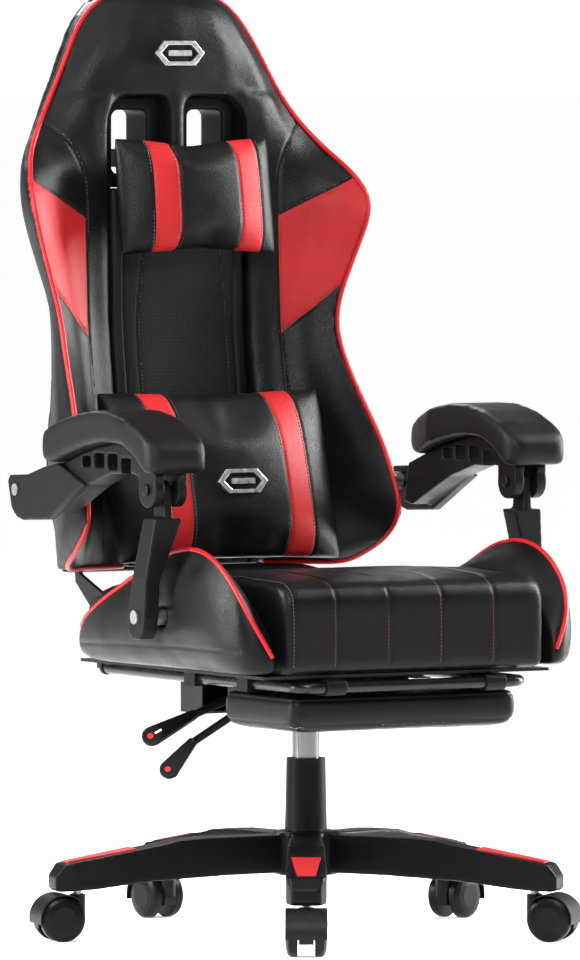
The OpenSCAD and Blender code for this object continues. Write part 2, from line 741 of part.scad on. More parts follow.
// Bracket under the pad: arched rib with windows, clevis discs in front, flared plate behind
module arm_bracket() {
    disc_r = 23.35;
    color(soft_black) difference() {
        union() {
            yz_plate(arm_x - 16, arm_x + 22) polygon([[-124, 616], [-112, 628], [-92, 642], [-60, 654],
                [-15, 656], [40, 648], [90, 636], [130, 624], [168, 612], [180, 560], [160, 556],
                [60, 598], [0, 614], [-60, 616], [-84, 610], [-100, 608], [-122, 608]]);
            yz_plate(plate_arm_in, plate_arm_out) polygon([[130, 624], [168, 618], [215, 606],
                [262, 604], [268, 596], [258, 560], [244, 549], [228, 545], [160, 548], [60, 598]]);
            for (x = [arm_x - 24, arm_x + 10]) {
                x_pin(arm_front_yz, disc_r, x, x + 14);
                yz_plate(x, x + 14) polygon([[-122, 600], [-122, 618], [-112, 628], [-92, 642],
                    [-78, 647], [-78, 600]]);
            }
        }
        // rib windows
        for (w = [[-52, 26, 26], [-16, 26, 26], [20, 26, 24], [56, 22, 20]])
            translate([arm_x - 30, w[0], 654 - w[2] - abs(w[0]) * 0.12 - 6]) cube([80, w[1], w[2] - 6]);
        // gap for the post's tongue
        yz_plate(arm_x - 10, arm_x + 10) polygon([[-140, 560], [-140, 612], [-124, 622], [-74, 622],
            [-74, 560]]);
        x_pin(arm_rear_yz, bolt_r + run, 200, 400);
        x_pin(arm_front_yz, bolt_r + 0.1, 200, 400);
    }
}

// Post with a thin tongue and a cross pin on top and a flared plate at its foot
module arm_post() {
    color(black) difference() {
        union() {
            yz_plate(arm_x - 6, arm_x + 6) polygon([[-112, 597], [-88, 597], [-84, 556], [-116, 556]]);
            x_pin(arm_front_yz, 12, arm_x - 6, arm_x + 6);
            x_pin(arm_front_yz, bolt_r, arm_x - 28, arm_x + 28);
            for (s = [-28, 24.5]) x_pin(arm_front_yz, 8, arm_x + s, arm_x + s + 3.5);
            hull() {
                translate([arm_x - 20, -116, 558]) cube([40, 33, 2]);
                translate([post_in, -106, 480]) cube([post_out - post_in, 37, 2]);
            }
            yz_plate(post_in, post_out) polygon([[-106, 480.5], [-102, 431], [-98, 412], [-88, 402],
                [-70, 402], [-58, 412], [-56, 431], [-69, 480.5]]);
        }
        x_pin(post_yz, bolt_r + run, 200, 400);
    }
}

module arm_pad_left() { arm_pad(); }
module arm_bracket_left() { arm_bracket(); }
module arm_post_left() { arm_post(); }
module arm_pad_right() { mirror([1, 0, 0]) arm_pad(); }
module arm_bracket_right() { mirror([1, 0, 0]) arm_bracket(); }
module arm_post_right() { mirror([1, 0, 0]) arm_post(); }

// ---------------------------------------------------------------- nodes

star_base();
leg_inserts();
caster_stems();
outer_tube();
thrust_bearing();
guide_bush();
column_cover();
piston_rod();
pressure_tube();
release_pin();
mechanism_housing();
lever_pivot_pin();
height_lever();
recline_lever();
seat_frame();
seat_cushion();
seat_bolster_left();
seat_bolster_right();
post_bolts();
recline_shaft();
hinge_covers();
footrest_guides();
footrest_rod();
rod_end_caps();
footrest_clamps();
footrest_pad();
back_frame();
back_webbing();
recline_arms();
centre_pad();
wing_left();
wing_right();
headrest_pad();
headrest_spine();
rear_cover();
strap_bezels();
wing_brackets();
arm_bolts();
head_pillow();
head_pillow_strap();
strap_buckle();
lumbar_pillow();
arm_pad_left();
arm_bracket_left();
arm_post_left();
arm_pad_right();
arm_bracket_right();
arm_post_right();
caster_hood(0);  // caster_hood_1
caster_wheels(0);  // caster_wheels_1
caster_hood(1);  // caster_hood_2
caster_wheels(1);  // caster_wheels_2
caster_hood(2);  // caster_hood_3
caster_wheels(2);  // caster_wheels_3
caster_hood(3);  // caster_hood_4
caster_wheels(3);  // caster_wheels_4
caster_hood(4);  // caster_hood_5
caster_wheels(4);  // caster_wheels_5
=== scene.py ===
"""Looks of the gaming chair: upholstery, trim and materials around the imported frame."""
import json
import math

import bmesh
import bpy
import numpy as np
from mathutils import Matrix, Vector
from mathutils.bvhtree import BVHTree
from mathutils.kdtree import KDTree


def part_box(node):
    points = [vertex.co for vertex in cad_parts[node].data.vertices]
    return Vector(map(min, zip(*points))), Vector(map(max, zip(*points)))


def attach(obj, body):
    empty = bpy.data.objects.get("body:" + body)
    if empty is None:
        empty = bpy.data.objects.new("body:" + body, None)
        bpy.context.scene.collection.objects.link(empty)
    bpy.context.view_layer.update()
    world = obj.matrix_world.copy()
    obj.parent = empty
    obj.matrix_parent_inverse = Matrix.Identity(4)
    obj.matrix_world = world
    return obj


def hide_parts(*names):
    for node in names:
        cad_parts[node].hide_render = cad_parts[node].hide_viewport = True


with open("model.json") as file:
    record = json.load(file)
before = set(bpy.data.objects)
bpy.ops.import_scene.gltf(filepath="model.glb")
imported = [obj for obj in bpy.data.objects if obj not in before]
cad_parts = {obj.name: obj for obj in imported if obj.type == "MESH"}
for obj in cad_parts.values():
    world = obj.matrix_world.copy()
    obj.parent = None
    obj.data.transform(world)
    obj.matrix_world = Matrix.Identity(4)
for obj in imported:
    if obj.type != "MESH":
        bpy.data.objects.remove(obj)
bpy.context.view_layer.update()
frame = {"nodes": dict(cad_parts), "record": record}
scene = bpy.context.scene
MM = 0.001

# ------------------------------------------------------------------ design values, in millimetres

# Crest of the backrest, which carries the piping, as (height, half width, depth)
BACK_CREST = [(473, 221, 263), (512, 238, 180), (553, 240, 151), (600, 238, 168), (639, 235, 190),
              (686, 225, 218), (744, 216, 255), (795, 213, 277), (839, 221, 279), (911, 247, 270),
              (959, 261, 265), (1000, 250, 297), (1030, 230, 335), (1071, 200, 364), (1104, 179, 374),
              (1130, 166, 378), (1160, 151, 381), (1190, 135, 387), (1212, 121, 391), (1230, 102, 392),
              (1240, 82, 395), (1244, 62, 400)]
# Crest of a seat bolster, as (depth, half width, height)
BOLSTER_CREST = [(-286, 213, 386), (-278, 232, 422), (-258, 246, 462), (-215, 250, 504), (-158, 249, 525),
                 (-80, 249, 520), (0, 252, 488), (80, 256, 454), (140, 254, 426), (175, 244, 408)]
PAD_EDGE = 84           # half width of the middle pad's perforated panel
STRIP_EDGE = 148        # seam between the wing's inner strip and its side panel
HEAD_SEAM = [(206, 1072), (190, 1064), (172, 1046), (158, 1022), (150, 996), (STRIP_EDGE, 962)]
RED_TOP = [(STRIP_EDGE, 942), (262, 1002)]
RED_BOTTOM = [(STRIP_EDGE, 784), (240, 868)]
CHANNELS = (-118.8, -39.6, 39.6, 118.8)   # sewn channels of the seat cushion
# Rounded corners of a strap slot: half width, height, directions into the slot, radius
SLOT_CORNERS = [(103, 1103, -1, -1, 34), (13, 1103, 1, -1, 16), (103, 981, -1, 1, 20), (13, 981, 1, 1, 16)]
SLOT_FILL_DEPTH = (344, 396)   # front and back of the leather in those corners
SIDES = {"left": 1, "right": -1}

PHOTO_HEIGHT = 960      # pixels
CLOTH_FRAMES = 20       # frames that a cover is blown up for
LEAST_RISE = 0.2        # share of the cap that every point of a cover rises by at least
CLOTH_EASING = 10       # passes that even out how far a cover rises


def smooth_line(points, steps=6):
    """Catmull-Rom curve through the points."""
    p = [np.array(q, float) for q in points]
    p = [2 * p[0] - p[1]] + p + [2 * p[-1] - p[-2]]
    out = []
    for a, b, c, d in zip(p, p[1:], p[2:], p[3:]):
        for k in range(steps):
            t = k / steps
            out.append(0.5 * (2 * b + (c - a) * t + (2 * a - 5 * b + 4 * c - d) * t * t
                              + (3 * b - 3 * c + d - a) * t ** 3))
    return out + [p[-2]]


def eased(line, passes):
    """The same line with its small wobbles evened out and its ends kept."""
    line = np.array(line, float)
    for _ in range(passes):
        line[1:-1] = (line[:-2] + 2 * line[1:-1] + line[2:]) / 4
    return line


def even(points, step):
    """The same line with points a fixed distance apart."""
    p = np.array(points, float)
    s = np.concatenate([[0], np.cumsum(np.linalg.norm(np.diff(p, axis=0), axis=1))])
    at = np.linspace(0, s[-1], max(2, int(s[-1] / step) + 1))
    return np.stack([np.interp(at, s, p[:, i]) for i in range(3)], 1)


# ------------------------------------------------------------------ materials


class Shader:
    """A principled material with short names for its nodes."""

    def __init__(self, name, colour, roughness, metallic=0.0, specular=0.5):
        self.material = bpy.data.materials.new(name)
        self.material.use_nodes = True
        self.nodes = self.material.node_tree.nodes
        self.links = self.material.node_tree.links
        self.shader = self.nodes["Principled BSDF"]
        self.shader.inputs["Base Color"].default_value = (*colour, 1)
        self.shader.inputs["Roughness"].default_value = roughness
        self.shader.inputs["Metallic"].default_value = metallic
        self.shader.inputs["Specular IOR Level"].default_value = specular
        self.place = self.nodes.new("ShaderNodeTexCoord").outputs["Object"]
        self.normal = None

    def add(self, kind, values=None, **settings):
        node = self.nodes.new(kind)
        for key, value in settings.items():
            setattr(node, key, value)
        for key, value in (values or {}).items():
            node.inputs[key].default_value = value
        return node

    def noise(self, scale, detail=3.0, stretch=(1, 1, 1)):
        node = self.add("ShaderNodeTexNoise", {"Scale": scale, "Detail": detail})
        self.links.new(self.stretched(stretch), node.inputs["Vector"])
        return node.outputs["Fac"]

    def stretched(self, stretch):
        if tuple(stretch) == (1, 1, 1):
            return self.place
        node = self.add("ShaderNodeVectorMath", operation="MULTIPLY")
        node.inputs[1].default_value = stretch
        self.links.new(self.place, node.inputs[0])
        return node.outputs[0]

    def cells(self, scale, feature="DISTANCE_TO_EDGE", stretch=(1, 1, 1)):
        node = self.add("ShaderNodeTexVoronoi", {"Scale": scale}, feature=feature)
        self.links.new(self.stretched(stretch), node.inputs["Vector"])
        return node.outputs["Distance"]

    def ramp(self, value, low, high, out_low=0.0, out_high=1.0):
        node = self.add("ShaderNodeMapRange", {"From Min": low, "From Max": high,
                                               "To Min": out_low, "To Max": out_high})
        self.links.new(value, node.inputs["Value"])
        return node.outputs["Result"]

    def math(self, operation, a, b):
        node = self.add("ShaderNodeMath", operation=operation)
        for socket, value in zip(node.inputs, (a, b)):
            if isinstance(value, (int, float)):
                socket.default_value = value
            else:
                self.links.new(value, socket)
        return node.outputs[0]

    def bump(self, height, distance, strength=1.0):
        node = self.add("ShaderNodeBump", {"Distance": distance, "Strength": strength})
        self.links.new(height, node.inputs["Height"])
        if self.normal:
            self.links.new(self.normal, node.inputs["Normal"])
        self.normal = node.outputs["Normal"]
        self.links.new(self.normal, self.shader.inputs["Normal"])

    def tint(self, value, dark, light):
        """Base colour between two colours, by a value from 0 to 1."""
        node = self.add("ShaderNodeMix", data_type="RGBA")
        node.inputs["A"].default_value = (*dark, 1)
        node.inputs["B"].default_value = (*light, 1)
        self.links.new(value, node.inputs["Factor"])
        self.links.new(node.outputs["Result"], self.shader.inputs["Base Color"])

    def rough(self, value, low, high):
        self.links.new(self.ramp(value, 0.3, 0.7, low, high), self.shader.inputs["Roughness"])


def shade(colour, factor):
    return tuple(c * factor for c in colour)


def leather(name, colour, roughness, pebble=460, grain=0.00025, coat=0.0):
    """PU leather: fine pebbles, soft creases and slightly worn, shinier high spots."""
    s = Shader(name, colour, roughness, specular=0.13)
    broad = s.noise(9, 2)
    s.tint(s.ramp(broad, 0.3, 0.7), shade(colour, 0.85), shade(colour, 1.15))
    s.rough(s.noise(26, 4), roughness - 0.05, roughness + 0.06)
    s.bump(s.noise(45, 2), 0.0005, 0.4)
    s.bump(s.noise(240, 3), 0.00035, 0.45)
    s.bump(s.ramp(s.cells(pebble), 0.0, 0.4), grain, 0.6)
    s.shader.inputs["Coat Weight"].default_value = coat
    s.shader.inputs["Coat Roughness"].default_value = 0.3
    return s.material


def perforated(name, colour):
    """Matte leather with rows of small punched holes."""
    s = Shader(name, colour, 0.6, specular=0.15)
    split = s.add("ShaderNodeSeparateXYZ")
    s.links.new(s.place, split.inputs[0])
    squares = []
    for axis in ("X", "Z"):
        cell = s.math("FRACT", s.math("MULTIPLY", split.outputs[axis], 200), 0)
        offset = s.math("SUBTRACT", cell, 0.5)
        squares.append(s.math("MULTIPLY", offset, offset))
    away = s.math("SQRT", s.math("ADD", *squares), 0)
    hole = s.ramp(away, 0.15, 0.24)
    # The punched holes are painted far darker than the leather: painted shade inside the holes.
    s.tint(hole, shade(colour, 0.2), colour)
    s.bump(hole, 0.0005, 0.8)
    s.bump(s.noise(55, 3), 0.0007, 0.4)
    s.bump(s.ramp(s.cells(620), 0, 0.4), 0.00015, 0.5)
    s.rough(s.noise(30, 3), 0.55, 0.68)
    return s.material


def plastic(name, colour, roughness, texture=0.00012, specular=0.5):
    """Moulded plastic: fine spark-eroded texture, uneven gloss, sharp edges painted paler as a painted
    highlight.
    """
    s = Shader(name, colour, roughness, specular=specular)
    # Sharp edges (high pointiness) are painted slightly paler: a painted highlight on the edges.
    edge = s.add("ShaderNodeNewGeometry").outputs["Pointiness"]
    s.tint(s.ramp(edge, 0.49, 0.58), colour, tuple(c + 0.003 for c in colour))
    s.rough(s.noise(34, 5), roughness - 0.05, roughness + 0.08)
    s.bump(s.noise(1300, 2), texture, 0.5)
    return s.material


def metal(name, colour, roughness, stretch=(1, 1, 1), coated=False):
    """Bare or powder-coated steel, with fine marks along one direction."""
    s = Shader(name, colour, roughness, metallic=0.0 if coated else 1.0, specular=0.25)
    marks = s.noise(35 if coated else 160, 3, stretch)
    s.rough(marks, roughness * 0.8, roughness * 1.3)
    s.bump(marks, 0.00004, 0.3)
    s.tint(s.noise(14, 3), shade(colour, 0.85), shade(colour, 1.1))
    return s.material


def woven(name, colour):
    """Elastic webbing with crossed threads."""
    s = Shader(name, colour, 0.8)
    waves = []
    for direction in ("X", "Z"):
        wave = s.add("ShaderNodeTexWave", {"Scale": 320.0, "Distortion": 0.6}, bands_direction=direction)
        s.links.new(s.place, wave.inputs["Vector"])
        waves.append(wave.outputs["Fac"])
    weave = s.math("MULTIPLY", *waves)
    s.bump(weave, 0.0004, 0.8)
    # The colour follows the weave relief: painted shade in the gaps between threads and a painted highlight
    # on the raised crossings.
    s.tint(weave, shade(colour, 0.5), shade(colour, 1.6))
    return s.material


def thread(name, colour):
    s = Shader(name, colour, 0.6)
    wave = s.add("ShaderNodeTexWave", {"Scale": 900.0}, bands_direction="DIAGONAL")
    s.links.new(s.place, wave.inputs["Vector"])
    s.bump(wave.outputs["Fac"], 0.0002, 0.6)
    # The colour follows the twist: painted shade in the grooves between the plies.
    s.tint(wave.outputs["Fac"], shade(colour, 0.6), colour)
    return s.material


BLACK = (0.0042, 0.0042, 0.0045)
RED = (0.35, 0.013, 0.015)
MATERIALS = {
    "black_leather": leather("black_leather", BLACK, 0.36),
    # seat_leather is black_leather painted 30 % darker: painted shade on the lower parts (seat cushion,
    # bolsters, seat roll, footrest).
    "seat_leather": leather("seat_leather", shade(BLACK, 0.7), 0.35),
    "red_leather": leather("red_leather", RED, 0.42),
    "dark_leather": leather("dark_leather", shade(BLACK, 0.9), 0.5),
    "mesh_leather": perforated("mesh_leather", (0.006, 0.006, 0.0064)),
    "red_piping": leather("red_piping", (0.34, 0.008, 0.011), 0.3, coat=0.15),
    "arm_foam": plastic("arm_foam", (0.0045, 0.0045, 0.0048), 0.42, 0.0002, 0.11),
    "black_plastic": plastic("black_plastic", (0.004, 0.004, 0.0043), 0.4, specular=0.1),
    "base_nylon": plastic("base_nylon", (0.003, 0.003, 0.0033), 0.34, specular=0.07),
    "wheel_nylon": plastic("wheel_nylon", (0.003, 0.003, 0.0033), 0.3, specular=0.1),
    "red_trim": plastic("red_trim", (0.4, 0.015, 0.018), 0.38, specular=0.2),
    "steel": metal("steel", (0.35, 0.35, 0.36), 0.35),
    "black_steel": metal("black_steel", (0.005, 0.005, 0.0055), 0.26, coated=True),
    "chrome_tube": metal("chrome_tube", (0.17, 0.17, 0.175), 0.24, (1, 1, 0.04)),
    "webbing": woven("webbing", (0.02, 0.02, 0.02)),
    "black_thread": thread("black_thread", (0.05, 0.05, 0.05)),
    "red_thread": thread("red_thread", (0.14, 0.01, 0.01)),
    "pale_thread": thread("pale_thread", (0.35, 0.3, 0.28)),
    "silver_badge": metal("silver_badge", (0.5, 0.5, 0.51), 0.34),
    "white_print": plastic("white_print", (0.7, 0.7, 0.7), 0.4),
}


def paint(obj, *names):
    """Gives a piece its materials."""
    obj.data.materials.clear()
    for name in names:
        obj.data.materials.append(MATERIALS[name])


# ------------------------------------------------------------------ mesh tools


def new_piece(name, vertices, faces, material, body, smooth=True):
    mesh = bpy.data.meshes.new(name)
    mesh.from_pydata([tuple(float(c) for c in v) for v in vertices], [], faces)
    mesh.validate()
    mesh.polygons.foreach_set("use_smooth", [smooth] * len(mesh.polygons))
    obj = bpy.data.objects.new(name, mesh)
    scene.collection.objects.link(obj)
    paint(obj, material)
    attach(obj, body)
    return obj


def copy_nodes(nodes, name):
    """One new object from the meshes of one or more CAD nodes."""
    bm = bmesh.new()
    for node in [nodes] if isinstance(nodes, str) else nodes:
        bm.from_mesh(frame["nodes"][node].data)
    mesh = bpy.data.meshes.new(name)
    bm.to_mesh(mesh)
    bm.free()
    obj = bpy.data.objects.new(name, mesh)
    scene.collection.objects.link(obj)
    return obj


def bake(obj):
    """Applies every modifier."""
    bpy.context.view_layer.update()
    done = obj.evaluated_get(bpy.context.evaluated_depsgraph_get())
    mesh = bpy.data.meshes.new_from_object(done)
    mesh.name = obj.name
    obj.modifiers.clear()
    obj.data = mesh


def coordinates(obj):
    co = np.zeros(len(obj.data.vertices) * 3)
    obj.data.vertices.foreach_get("co", co)
    return co.reshape(-1, 3)


def normals(obj):
    co = np.zeros(len(obj.data.vertices) * 3)
    obj.data.vertices.foreach_get("normal", co)
    return co.reshape(-1, 3)


def move_to(obj, co):
    obj.data.vertices.foreach_set("co", co.ravel())
    obj.data.update()


def all_smooth(obj):
    obj.data.polygons.foreach_set("use_smooth", [True] * len(obj.data.polygons))


def rounded(obj, voxel, passes):
    """Remeshes a piece evenly and rounds its edges."""
    m = obj.modifiers.new("remesh", "REMESH")
    m.mode = "VOXEL"
    m.voxel_size = voxel * MM
    if passes:
        s = obj.modifiers.new("smooth", "SMOOTH")
        s.factor = 0.5
        s.iterations = passes
    bake(obj)


def subdivide(obj, levels=1):
    m = obj.modifiers.new("subdivision", "SUBSURF")
    m.levels = m.render_levels = levels
    bake(obj)


def near_lines(co, lines, reach):
    """Distance from each point to the nearest line, or the reach where it is further."""
    samples = np.concatenate([even(line, 0.0015) for line in lines])
    tree = KDTree(len(samples))
    for i, p in enumerate(samples):
        tree.insert(p, i)
    tree.balance()
    low, high = samples.min(0) - reach, samples.max(0) + reach
    close = np.all((co > low) & (co < high), axis=1)
    away = np.full(len(co), reach)
    for i in np.nonzero(close)[0]:
        away[i] = min(reach, tree.find(co[i])[2])
    return away


def relaxed(obj, values, passes):
    """Values at the vertices, evened out between neighbours."""
    pairs = np.zeros(len(obj.data.edges) * 2, dtype=np.int64)
    obj.data.edges.foreach_get("vertices", pairs)
    a, b = pairs.reshape(-1, 2).T
    size = len(values)
    count = np.maximum(np.bincount(a, minlength=size) + np.bincount(b, minlength=size), 1)
    for _ in range(passes):
        total = np.bincount(a, values[b], size) + np.bincount(b, values[a], size)
        values = (values + total / count) / 2
    return values


def inflate(obj, pressure, cap, seams=(), pin_width=3.0, free=False):
    """Blows the cover up by cloth simulation, held along its seams, and caps how far it moves.
    Unless it is free, only the outward part is kept, evened out: foam inside stops it sinking."""
    start, out = coordinates(obj), normals(obj)
    if seams:
        pins = obj.vertex_groups.new(name="pins")
        held = near_lines(start, seams, 2 * pin_width * MM)
        for i in np.nonzero(held < pin_width * MM)[0]:
            pins.add([int(i)], 1.0, "REPLACE")
    cloth = obj.modifiers.new("cloth", "CLOTH")
    s = cloth.settings
    s.quality = 4
    s.mass = 0.2
    s.tension_stiffness = s.compression_stiffness = 12
    s.shear_stiffness = 4
    s.bending_stiffness = 0.4
    s.use_pressure = True
    s.uniform_pressure_force = pressure
    s.effector_weights.gravity = 0
    if seams:
        s.vertex_group_mass = "pins"
    cloth.point_cache.frame_start = 1
    cloth.point_cache.frame_end = CLOTH_FRAMES
    for f in range(1, CLOTH_FRAMES + 1):
        scene.frame_set(f)
    bake(obj)
    scene.frame_set(1)
    obj.vertex_groups.clear()
    moved = coordinates(obj) - start
    length = np.linalg.norm(moved, axis=1, keepdims=True)
    moved = moved * np.minimum(1, cap * MM / np.maximum(length, 1e-9))
    if not free:
        outward = np.clip((moved * out).sum(1), LEAST_RISE * cap * MM, None)
        moved = relaxed(obj, outward, CLOTH_EASING)[:, None] * out
    move_to(obj, start + moved)


def upholster(nodes, name, voxel=6, shrink=3, cap=5, seams=(), pressure=5, passes=6, fillers=()):
    """One cover grown from the CAD solids under it, with any filler pieces sewn in."""
    obj = copy_nodes(nodes, name)
    if fillers:
        bm = bmesh.new()
        bm.from_mesh(obj.data)
        for outline, front, back in fillers:
            rings = [[bm.verts.new((x * MM, y * MM, z * MM)) for x, z in outline] for y in (front, back)]
            n = len(outline)
            bm.faces.new(rings[0])
            bm.faces.new(rings[1][::-1])
            for k in range(n):
                bm.faces.new((rings[0][k], rings[1][k], rings[1][(k + 1) % n], rings[0][(k + 1) % n]))
        bmesh.ops.recalc_face_normals(bm, faces=bm.faces)
        bm.to_mesh(obj.data)
        bm.free()
    rounded(obj, voxel, passes)
    move_to(obj, coordinates(obj) - normals(obj) * shrink * MM)
    inflate(obj, pressure, cap, seams)
    subdivide(obj)
    all_smooth(obj)
    return obj


def tree_of(obj):
    bm = bmesh.new()
    bm.from_mesh(obj.data)
    tree = BVHTree.FromBMesh(bm)
    bm.free()
    return tree


def snapped(obj, points, step=2.5, lift=0.0):
    """A line laid on the surface of a piece, with the surface's direction at each point."""
    tree = tree_of(obj)
    line, out = [], []
    for p in even(points, step * MM):
        place, normal, _, _ = tree.find_nearest(Vector(p))
        line.append(np.array(place + normal * lift))
        out.append(np.array(normal))
    return np.array(line), np.array(out)


def cast(obj, points, direction):
    """Points thrown onto the surface along a direction, from well outside."""
    tree = tree_of(obj)
    direction = Vector(direction)
    hits = []
    for p in points:
        place = tree.ray_cast(Vector(p) - direction * 2, direction)[0]
        if place is not None:
            hits.append(np.array(place))
    return hits


def groove(obj, lines, depth=1.6, width=2.2):
    """Presses seams into the surface."""
    co = coordinates(obj)
    reach = 3 * width * MM
    away = near_lines(co, lines, reach)
    press = depth * MM * np.exp(-(away / (width * MM)) ** 2)
    press[away >= reach * 0.999] = 0
    move_to(obj, co - normals(obj) * press[:, None])


def cut(obj, a, b, along):
    """Adds a row of edges where the plane through a and b, along a direction, meets the surface."""
    bm = bmesh.new()
    bm.from_mesh(obj.data)
    a, b, along = Vector(a) * MM, Vector(b) * MM, Vector(along)
    span = b - a
    reach = 0.006 / span.length

    def inside(face):
        c = face.calc_center_median()
        t = (c - a).dot(span) / span.length_squared
        return -reach < t < 1 + reach

    faces = [f for f in bm.faces if inside(f)]
    geometry = list({v for f in faces for v in f.verts} | {e for f in faces for e in f.edges}) + faces
    bmesh.ops.bisect_plane(bm, geom=geometry, plane_co=a, plane_no=span.cross(along).normalized(),
                           dist=1e-5)
    bm.to_mesh(obj.data)
    bm.free()
    obj.data.update()


def colour_faces(obj, index, test):
    """Gives the material of an index to the faces whose middle passes the test."""
    for face in obj.data.polygons:
        if test(face.center / MM):
            face.material_index = index


def tube(name, points, radius, material, body, sides=10, step=4.0):
    """A round cord of leather along a smooth line, with closed ends."""
    line = even(points, step * MM)
    vertices, faces = [], []
    along = np.gradient(line, axis=0)
    along /= np.linalg.norm(along, axis=1, keepdims=True)
    up = np.cross(along[0], [0.3, 0.5, 0.8])
    for p, t in zip(line, along):
        up = up - t * (up @ t)
        up /= np.linalg.norm(up)
        side = np.cross(t, up)
        for k in range(sides):
            a = 2 * math.pi * k / sides
            vertices.append(p + radius * MM * (math.cos(a) * up + math.sin(a) * side))
    rows = len(line)
    for i in range(rows - 1):
        for k in range(sides):
            n = (k + 1) % sides
            faces.append((i * sides + k, i * sides + n, (i + 1) * sides + n, (i + 1) * sides + k))
    faces.append(tuple(range(sides - 1, -1, -1)))
    faces.append(tuple(range((rows - 1) * sides, rows * sides)))
    return new_piece(name, vertices, faces, material, body)


def stitches(name, surface, lines, material, body, pitch=5.0, length=3.4, radius=0.55, offset=0.0):
    """Rows of single stitches along lines on a surface, beside each line by an offset."""
    vertices, faces = [], []
    sides = 6
    ring = [(math.cos(a), math.sin(a)) for a in np.arange(sides) * 2 * math.pi / sides]
    rows = [(-0.5, 0.35), (-0.3, 1), (0.3, 1), (0.5, 0.35)]
    for line in lines:
        places, outs = snapped(surface, line, pitch)
        tangents = np.gradient(places, axis=0)
        for p, n, t in zip(places, outs, tangents):
            t = t / max(np.linalg.norm(t), 1e-9)
            across = np.cross(n, t)
            middle = p + across * offset * MM + n * radius * 0.3 * MM
            base = len(vertices)
            for u, r in rows:
                for c, s in ring:
                    vertices.append(middle + t * u * length * MM
                                    + radius * r * MM * (c * across + s * n))
            for i in range(len(rows) - 1):
                for k in range(sides):
                    m = (k + 1) % sides
                    faces.append((base + i * sides + k, base + i * sides + m,
                                  base + (i + 1) * sides + m, base + (i + 1) * sides + k))
            faces.append(tuple(base + k for k in range(sides - 1, -1, -1)))
            faces.append(tuple(base + (len(rows) - 1) * sides + k for k in range(sides)))
    return new_piece(name, vertices, faces, material, body)


def mirrored(points, side):
    return [(side * p[0], p[1], p[2]) for p in points]


def metres(points):
    return np.array(points, float) * MM


# ------------------------------------------------------------------ camera, light, floor


def make_camera():
    """Long lens, 30 degrees to the sitter's right, level with the sitter's head."""
    distance, height, focal_pixels = 14.0, 1.19, 10640.0
    aim_height, aside = 0.6, -0.021
    turn = math.radians(30)
    right = Vector((math.cos(turn), -math.sin(turn), 0))
    shift = right * aside
    data = bpy.data.cameras.new("camera")
    data.sensor_width = 36
    data.lens = focal_pixels / PHOTO_HEIGHT * data.sensor_width
    data.clip_end = 200
    camera = bpy.data.objects.new("camera", data)
    scene.collection.objects.link(camera)
    camera.location = Vector((-distance * math.sin(turn), -distance * math.cos(turn), height)) + shift
    aim = Vector((0, 0, aim_height)) + shift - camera.location
    camera.rotation_euler = aim.to_track_quat("-Z", "Y").to_euler()
    scene.camera = camera


def area_light(name, place, size, power, target=(0, 0, 0.7), colour=(1, 1, 1)):
    data = bpy.data.lights.new(name, "AREA")
    data.shape = "RECTANGLE"
    data.size, data.size_y = size
    data.energy = power
    data.color = colour
    light = bpy.data.objects.new(name, data)
    scene.collection.objects.link(light)
    light.location = place
    light.rotation_euler = (Vector(target) - Vector(place)).to_track_quat("-Z", "Y").to_euler()


def make_light():
    """A pale horizon under a darker soft sky, a wide overhead light and tall strips at the sides."""
    world = bpy.data.worlds.new("studio")
    world.use_nodes = True
    nodes, links = world.node_tree.nodes, world.node_tree.links
    background = nodes["Background"]
    background.inputs["Color"].default_value = (0.98, 0.99, 1.0, 1)
    height = nodes.new("ShaderNodeSeparateXYZ")
    links.new(nodes.new("ShaderNodeTexCoord").outputs["Generated"], height.inputs[0])
    fade = nodes.new("ShaderNodeMapRange")
    for socket, value in (("From Min", 0.03), ("From Max", 0.2), ("To Min", 1.06), ("To Max", 0.1)):
        fade.inputs[socket].default_value = value
    links.new(height.outputs["Z"], fade.inputs["Value"])
    links.new(fade.outputs["Result"], background.inputs["Strength"])
    scene.world = world
    sun = bpy.data.lights.new("overhead", "SUN")
    sun.energy = 1.7
    sun.angle = math.radians(60)
    overhead = bpy.data.objects.new("overhead", sun)
    overhead.rotation_euler = (math.radians(14), math.radians(-12), 0)
    scene.collection.objects.link(overhead)
    area_light("strip_left", (-2.3, 0.7, 1.5), (0.5, 2.4), 170)
    area_light("strip_right", (2.4, -0.2, 1.5), (0.5, 2.4), 220)
    area_light("front_box", (-1.9, -3.0, 2.7), (1.2, 1.2), 130)
    area_light("back_box", (0.6, 2.6, 2.4), (2.0, 0.9), 60)


def make_floor():
    bpy.ops.mesh.primitive_plane_add(size=1600)
    floor = bpy.context.active_object
    floor.name = "floor"
    s = Shader("floor", (0.9, 0.9, 0.9), 0.7, specular=0.1)
    s.tint(s.noise(0.7, 2), (0.92, 0.92, 0.92), (0.95, 0.95, 0.95))
    s.shader.inputs["Emission Color"].default_value = (1, 1, 1, 1)
    s.shader.inputs["Emission Strength"].default_value = 0.42
    floor.data.materials.append(s.material)


make_camera()
make_light()
make_floor()
scene.view_settings.view_transform = "Standard"

# ------------------------------------------------------------------ CAD parts that keep their shape


def finish_nodes():
    """Materials for every CAD node, from its slot in the record."""
    slots = {s["node"]: s["material_slot"] for s in frame["record"]["subparts"]}
    for node, obj in frame["nodes"].items():
        obj.data.materials.clear()
        obj.data.materials.append(MATERIALS[slots[node]])


finish_nodes()

# ------------------------------------------------------------------ seat


def seat_profile(x):
    """Line over the cushion from the back to the bottom of its front face."""
    rows = [(200, 462), (150, 472), (60, 480), (0, 484), (-100, 488), (-200, 487), (-262, 483),
            (-279, 474), (-287, 460), (-290, 430), (-290, 400), (-288, 374)]
    return metres([(x, y, z) for y, z in rows])


